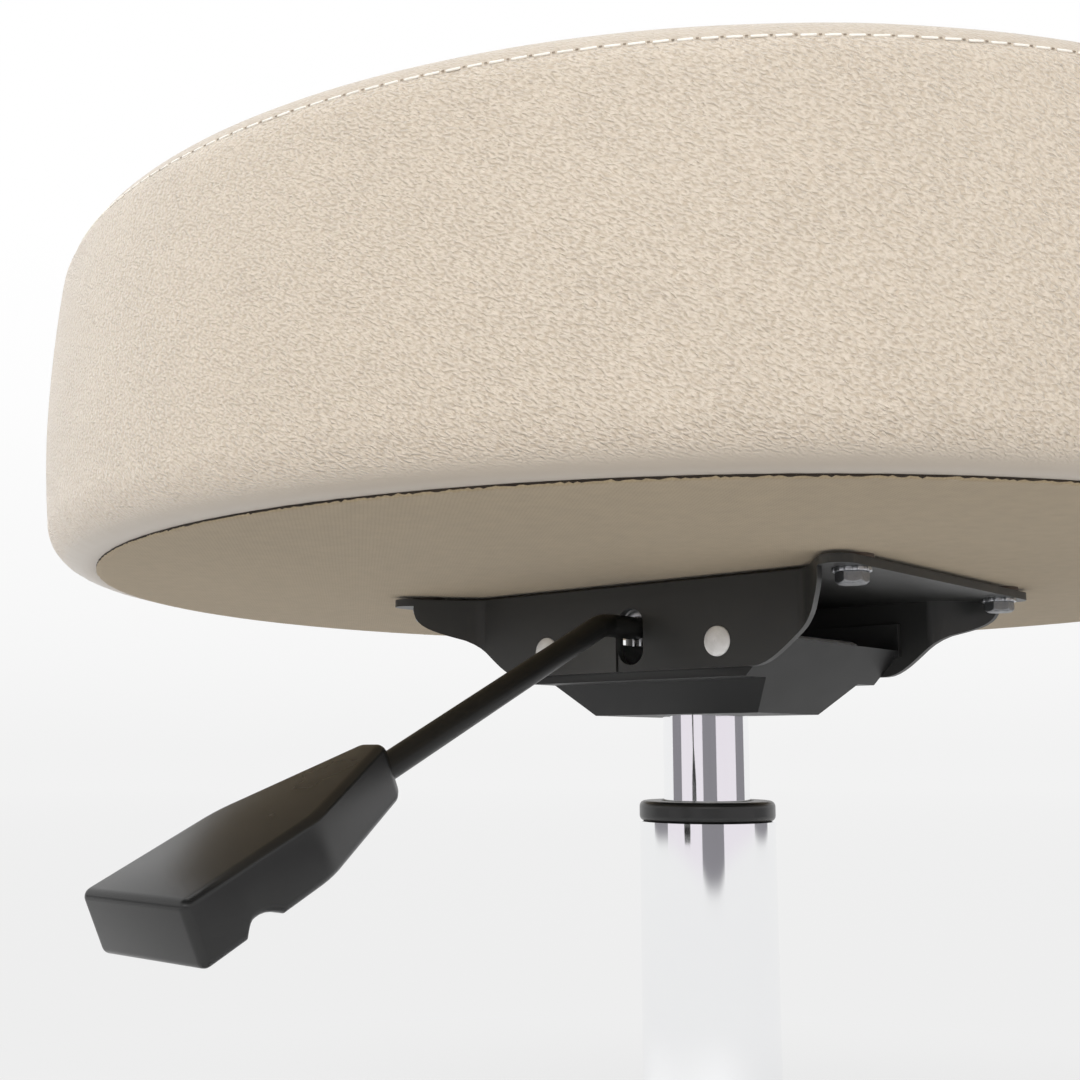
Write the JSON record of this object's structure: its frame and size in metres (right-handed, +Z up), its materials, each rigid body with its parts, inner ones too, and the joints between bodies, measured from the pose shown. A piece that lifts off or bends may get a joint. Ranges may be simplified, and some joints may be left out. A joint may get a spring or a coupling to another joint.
{
  "type": "height-adjustable round stool",
  "caption": "Round padded stool on a gas lift with a side lever, a turning seat and a five-leg base on twin-wheel casters.",
  "frame": {"origin": "On the floor, on the axis of the column.", "axes": "+Z up along the column, +X towards the lever, +Y along the seat plate's long sides."},
  "size_m": [0.5619, 0.5678, 0.483],
  "materials": {
    "base_chrome": "bright chrome plate on pressed steel",
    "chrome": "polished chrome plate",
    "black_ring": "black moulded plastic, slight sheen",
    "bush_plastic": "natural acetal",
    "bearing_steel": "ground steel",
    "brass_part": "turned brass",
    "bump_rubber": "black rubber",
    "fibre": "pressed brown fibre",
    "gland_plastic": "dark grey plastic",
    "zinc_steel": "bright zinc plate",
    "plain_steel": "bare mild steel",
    "black_coat": "black powder coat, satin",
    "handle_plastic": "black moulded plastic, fine texture",
    "hood_plastic": "black nylon",
    "wheel_plastic": "dark grey nylon",
    "plywood": "raw plywood",
    "foam": "open-cell foam",
    "vinyl": "beige pebble-grained vinyl",
    "underside_weave": "tan woven cloth"
  },
  "bodies": {
    "base": {"base_hub": "base_chrome", "leg_1": "base_chrome", "leg_2": "base_chrome", "leg_3": "base_chrome", "leg_4": "base_chrome", "leg_5": "base_chrome", "caster_stems": "bearing_steel", "column_tube": "chrome", "column_ring": "black_ring", "guide_bush": "bush_plastic", "lower_race": "bearing_steel"},
    "turn": {"piston_rod": "chrome", "piston_head": "bearing_steel", "ball_cage": "brass_part", "upper_race": "bearing_steel", "bump_stop": "bump_rubber", "retaining_clip": "bearing_steel"},
    "lift": {"pressure_tube": "chrome", "rod_gland": "gland_plastic", "valve_body": "brass_part", "taper_socket": "plain_steel", "housing_pan": "black_coat", "seat_plate": "black_coat", "cross_pins": "zinc_steel", "lever_bracket": "plain_steel", "pivot_pin": "zinc_steel", "seat_bolts": "zinc_steel", "lock_washers": "zinc_steel", "bolt_spacers": "fibre", "tee_nuts": "zinc_steel", "seat_board": "plywood", "seat_foam": "foam", "side_cover": "vinyl", "top_cover": "vinyl", "underside_cloth": "underside_weave"},
    "lever": {"lever_rod": "black_coat", "lever_washer": "zinc_steel", "lever_handle": "handle_plastic"},
    "valve": {"valve_button": "zinc_steel"},
    "caster_1": {"caster_1_hood": "hood_plastic", "caster_1_axle": "bearing_steel"},
    "wheel_1_left": {"caster_1_wheel_left": "wheel_plastic"},
    "wheel_1_right": {"caster_1_wheel_right": "wheel_plastic"},
    "caster_2": {"caster_2_hood": "hood_plastic", "caster_2_axle": "bearing_steel"},
    "wheel_2_left": {"caster_2_wheel_left": "wheel_plastic"},
    "wheel_2_right": {"caster_2_wheel_right": "wheel_plastic"},
    "caster_3": {"caster_3_hood": "hood_plastic", "caster_3_axle": "bearing_steel"},
    "wheel_3_left": {"caster_3_wheel_left": "wheel_plastic"},
    "wheel_3_right": {"caster_3_wheel_right": "wheel_plastic"},
    "caster_4": {"caster_4_hood": "hood_plastic", "caster_4_axle": "bearing_steel"},
    "wheel_4_left": {"caster_4_wheel_left": "wheel_plastic"},
    "wheel_4_right": {"caster_4_wheel_right": "wheel_plastic"},
    "caster_5": {"caster_5_hood": "hood_plastic", "caster_5_axle": "bearing_steel"},
    "wheel_5_left": {"caster_5_wheel_left": "wheel_plastic"},
    "wheel_5_right": {"caster_5_wheel_right": "wheel_plastic"}
  },
  "joints": [
    {"name": "seat_swivel", "type": "hinge", "parent": "base", "child": "turn", "pos_m": [0, 0, 0.2], "axis": [0, 0, 1], "continuous": true},
    {"name": "seat_height", "type": "slide", "parent": "turn", "child": "lift", "axis": [0, 0, 1], "range_m": [0, 0.12]},
    {"name": "lever_press", "type": "hinge", "parent": "lift", "child": "lever", "pos_m": [-0.03, 0.0013, 0.371], "axis": [0, 1, 0], "range_deg": [0, 5], "stiffness_Nm_per_rad": 8, "springref_deg": -3.44},
    {"name": "valve_press", "type": "slide", "parent": "lift", "child": "valve", "axis": [0, 0, -1], "range_m": [0, 0.003]},
    {"name": "caster_1_swivel", "type": "hinge", "parent": "base", "child": "caster_1", "pos_m": [0.26, 0, 0.045], "axis": [0, 0, 1], "continuous": true},
    {"name": "wheel_1_left_spin", "type": "hinge", "parent": "caster_1", "child": "wheel_1_left", "pos_m": [0.26749, 0.01854, 0.025], "axis": [-0.9272, 0.3746, 0], "continuous": true},
    {"name": "wheel_1_right_spin", "type": "hinge", "parent": "caster_1", "child": "wheel_1_right", "pos_m": [0.26749, 0.01854, 0.025], "axis": [-0.9272, 0.3746, 0], "continuous": true},
    {"name": "caster_2_swivel", "type": "hinge", "parent": "base", "child": "caster_2", "pos_m": [0.08034, 0.24727, 0.045], "axis": [0, 0, 1], "continuous": true},
    {"name": "wheel_2_left_spin", "type": "hinge", "parent": "caster_2", "child": "wheel_2_left", "pos_m": [0.06502, 0.26013, 0.025], "axis": [-0.6428, -0.766, 0], "continuous": true},
    {"name": "wheel_2_right_spin", "type": "hinge", "parent": "caster_2", "child": "wheel_2_right", "pos_m": [0.06502, 0.26013, 0.025], "axis": [-0.6428, -0.766, 0], "continuous": true},
    {"name": "caster_3_swivel", "type": "hinge", "parent": "base", "child": "caster_3", "pos_m": [-0.21034, 0.15282, 0.045], "axis": [0, 0, 1], "continuous": true},
    {"name": "wheel_3_left_spin", "type": "hinge", "parent": "caster_3", "child": "wheel_3_left", "pos_m": [-0.22731, 0.14223, 0.025], "axis": [0.5299, -0.848, 0], "continuous": true},
    {"name": "wheel_3_right_spin", "type": "hinge", "parent": "caster_3", "child": "wheel_3_right", "pos_m": [-0.22731, 0.14223, 0.025], "axis": [0.5299, -0.848, 0], "continuous": true},
    {"name": "caster_4_swivel", "type": "hinge", "parent": "base", "child": "caster_4", "pos_m": [-0.21034, -0.15282, 0.045], "axis": [0, 0, 1], "continuous": true},
    {"name": "wheel_4_left_spin", "type": "hinge", "parent": "caster_4", "child": "wheel_4_left", "pos_m": [-0.20551, -0.17223, 0.025], "axis": [0.9703, 0.2419, 0], "continuous": true},
    {"name": "wheel_4_right_spin", "type": "hinge", "parent": "caster_4", "child": "wheel_4_right", "pos_m": [-0.20551, -0.17223, 0.025], "axis": [0.9703, 0.2419, 0], "continuous": true},
    {"name": "caster_5_swivel", "type": "hinge", "parent": "base", "child": "caster_5", "pos_m": [0.08034, -0.24727, 0.045], "axis": [0, 0, 1], "continuous": true},
    {"name": "wheel_5_left_spin", "type": "hinge", "parent": "caster_5", "child": "wheel_5_left", "pos_m": [0.1003, -0.24867, 0.025], "axis": [0.0698, 0.9976, 0], "continuous": true},
    {"name": "wheel_5_right_spin", "type": "hinge", "parent": "caster_5", "child": "wheel_5_right", "pos_m": [0.1003, -0.24867, 0.025], "axis": [0.0698, 0.9976, 0], "continuous": true}
  ],
  "couplings": [
    {"joint": "valve_press", "follows": "lever_press", "m_per_rad": 0.03}
  ]
}
